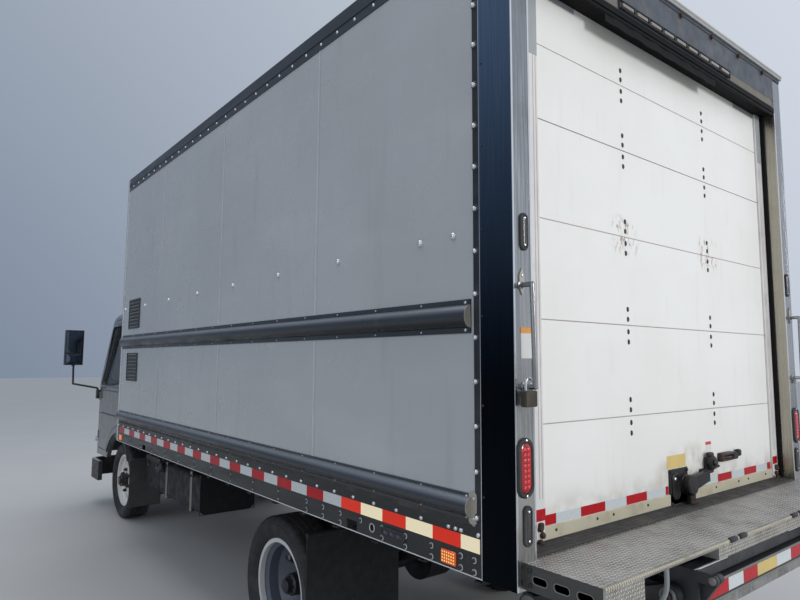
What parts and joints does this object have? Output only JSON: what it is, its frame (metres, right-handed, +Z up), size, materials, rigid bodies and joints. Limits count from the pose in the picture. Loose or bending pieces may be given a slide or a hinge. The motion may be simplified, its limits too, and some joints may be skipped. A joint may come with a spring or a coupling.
{
  "type": "low-cab-forward box truck",
  "caption": "Low-cab-forward delivery truck with a long van body, roll-up rear door, bed extension and a liftgate folded under the bed.",
  "frame": {"origin": "on the ground, on the centreline, halfway between the front bumper and the liftgate hinge", "axes": "+X to the front of the truck, +Y to its left side, +Z up"},
  "size_m": [7.0758, 2.764, 3.378],
  "materials": {
    "chassis_black": "satin black chassis paint, dusty",
    "engine_metal": "dull cast metal",
    "exhaust_steel": "heat-tinted steel",
    "black_rubber": "dull black rubber",
    "black_plastic": "grained black plastic",
    "floor_wood": "laminated hardwood boards",
    "dark_rail": "semi-gloss dark grey rail",
    "box_panel": "glossy light grey reinforced plastic",
    "bright_aluminium": "bright riveted extrusion",
    "roof_sheet": "white roof sheet",
    "stainless": "polished stainless steel",
    "door_white": "white painted door panels, streaked",
    "latch_black": "black latch castings",
    "red_lens": "red ribbed lens",
    "amber_lens": "amber lens",
    "tread_plate": "worn tread plate",
    "lift_steel": "dark painted steel",
    "cab_paint": "metallic silver-grey paint",
    "window_glass": "lightly tinted glass",
    "lamp_clear": "clear lamp lens over a bright reflector",
    "seat_fabric": "dark grey woven seat cloth",
    "tyre": "black tyre rubber",
    "rim_white": "white painted steel wheel"
  },
  "bodies": {
    "chassis": {"chassis_frame": "chassis_black", "front_axle": "chassis_black", "front_springs": "chassis_black", "rear_axle": "chassis_black", "rear_springs": "chassis_black", "engine_block": "engine_metal", "drive_shaft": "chassis_black", "fuel_tank": "chassis_black", "battery_box": "chassis_black", "exhaust": "exhaust_steel", "mud_flaps": "black_rubber", "front_bumper": "black_plastic", "floor_frame": "chassis_black", "cargo_floor": "floor_wood", "side_rails": "dark_rail", "side_panels": "box_panel", "front_wall": "box_panel", "front_corners": "bright_aluminium", "top_rails": "dark_rail", "roof": "roof_sheet", "rear_frame": "stainless", "rub_rails": "dark_rail", "side_vents": "black_plastic", "roll_door": "door_white", "door_latch": "latch_black", "tail_lamps": "red_lens", "marker_lamps": "amber_lens", "grab_rods": "stainless", "bed_extension": "tread_plate", "lift_hangers": "lift_steel"},
    "cab": {"cab_shell": "cab_paint", "cab_glass": "window_glass", "grille": "black_plastic", "headlamps": "lamp_clear", "dashboard": "black_plastic", "seat_base": "black_plastic", "seats": "seat_fabric", "mirrors": "black_plastic"},
    "door_left": {"door_left": "cab_paint", "door_glass_left": "window_glass"},
    "door_right": {"door_right": "cab_paint", "door_glass_right": "window_glass"},
    "steering_wheel": {"steering_wheel": "black_plastic"},
    "knuckle_left": {"knuckle_left": "chassis_black"},
    "knuckle_right": {"knuckle_right": "chassis_black"},
    "tie_rod": {"tie_rod": "chassis_black"},
    "wheel_front_left": {"front_tyre_left": "tyre", "front_rim_left": "rim_white"},
    "wheel_front_right": {"front_tyre_right": "tyre", "front_rim_right": "rim_white"},
    "wheel_rear_left": {"rear_tyres_left": "tyre", "rear_rims_left": "rim_white"},
    "wheel_rear_right": {"rear_tyres_right": "tyre", "rear_rims_right": "rim_white"},
    "lift_arms": {"lift_arms": "lift_steel"},
    "lift_crossbar": {"lift_crossbar": "lift_steel"},
    "lift_platform": {"lift_platform": "lift_steel"},
    "lift_flipover": {"lift_flipover": "tread_plate"}
  },
  "joints": [
    {"name": "cab_tilt", "type": "hinge", "parent": "chassis", "child": "cab", "pos_m": [3.388, 0, 0.6], "axis": [0, 1, 0], "range_deg": [0, 45]},
    {"name": "door_left_swing", "type": "hinge", "parent": "cab", "child": "door_left", "pos_m": [3.299, 0.994, 1], "axis": [0, 0, -1], "range_deg": [0, 68]},
    {"name": "door_right_swing", "type": "hinge", "parent": "cab", "child": "door_right", "pos_m": [3.299, -0.994, 1], "axis": [0, 0, 1], "range_deg": [0, 68]},
    {"name": "steer_left", "type": "hinge", "parent": "chassis", "child": "knuckle_left", "pos_m": [2.443, 0.6825, 0.325], "axis": [0, 0, 1], "range_deg": [-35, 35]},
    {"name": "steer_right", "type": "hinge", "parent": "chassis", "child": "knuckle_right", "pos_m": [2.443, -0.6825, 0.325], "axis": [0, 0, 1], "range_deg": [-35, 35]},
    {"name": "tie_rod_swing", "type": "hinge", "parent": "knuckle_left", "child": "tie_rod", "pos_m": [2.293, 0.6825, 0.235], "axis": [0, 0, 1], "range_deg": [-35, 35]},
    {"name": "steering_wheel_turn", "type": "hinge", "parent": "cab", "child": "steering_wheel", "pos_m": [2.873, 0.48, 1.39], "axis": [-0.47, 0, 0.8827], "range_deg": [-490, 490]},
    {"name": "wheel_front_left_spin", "type": "hinge", "parent": "knuckle_left", "child": "wheel_front_left", "pos_m": [2.443, 0.8325, 0.385], "axis": [0, 1, 0], "continuous": true},
    {"name": "wheel_front_right_spin", "type": "hinge", "parent": "knuckle_right", "child": "wheel_front_right", "pos_m": [2.443, -0.8325, 0.385], "axis": [0, 1, 0], "continuous": true},
    {"name": "wheel_rear_left_spin", "type": "hinge", "parent": "chassis", "child": "wheel_rear_left", "pos_m": [-1.367, 0.865, 0.385], "axis": [0, 1, 0], "continuous": true},
    {"name": "wheel_rear_right_spin", "type": "hinge", "parent": "chassis", "child": "wheel_rear_right", "pos_m": [-1.367, -0.865, 0.385], "axis": [0, 1, 0], "continuous": true},
    {"name": "lift_lower", "type": "hinge", "parent": "chassis", "child": "lift_arms", "pos_m": [-2.737, 0, 0.575], "axis": [0, -1, 0], "range_deg": [0, 66]},
    {"name": "lift_level", "type": "hinge", "parent": "lift_arms", "child": "lift_crossbar", "pos_m": [-3.377, 0, 0.805], "axis": [0, -1, 0], "range_deg": [-66, 0]},
    {"name": "platform_unfold", "type": "hinge", "parent": "lift_crossbar", "child": "lift_platform", "pos_m": [-3.521, 0, 0.886], "axis": [0, 1, 0], "range_deg": [0, 180]},
    {"name": "flipover_unfold", "type": "hinge", "parent": "lift_platform", "child": "lift_flipover", "pos_m": [-2.873, 0, 0.779], "axis": [0, 1, 0], "range_deg": [-180, 0]}
  ],
  "couplings": [
    {"joint": "steer_right", "follows": "steer_left", "ratio": 1},
    {"joint": "tie_rod_swing", "follows": "steer_left", "ratio": -1},
    {"joint": "steering_wheel_turn", "follows": "steer_left", "ratio": 14},
    {"joint": "lift_level", "follows": "lift_lower", "ratio": -1},
    {"joint": "flipover_unfold", "follows": "platform_unfold", "ratio": -1}
  ]
}
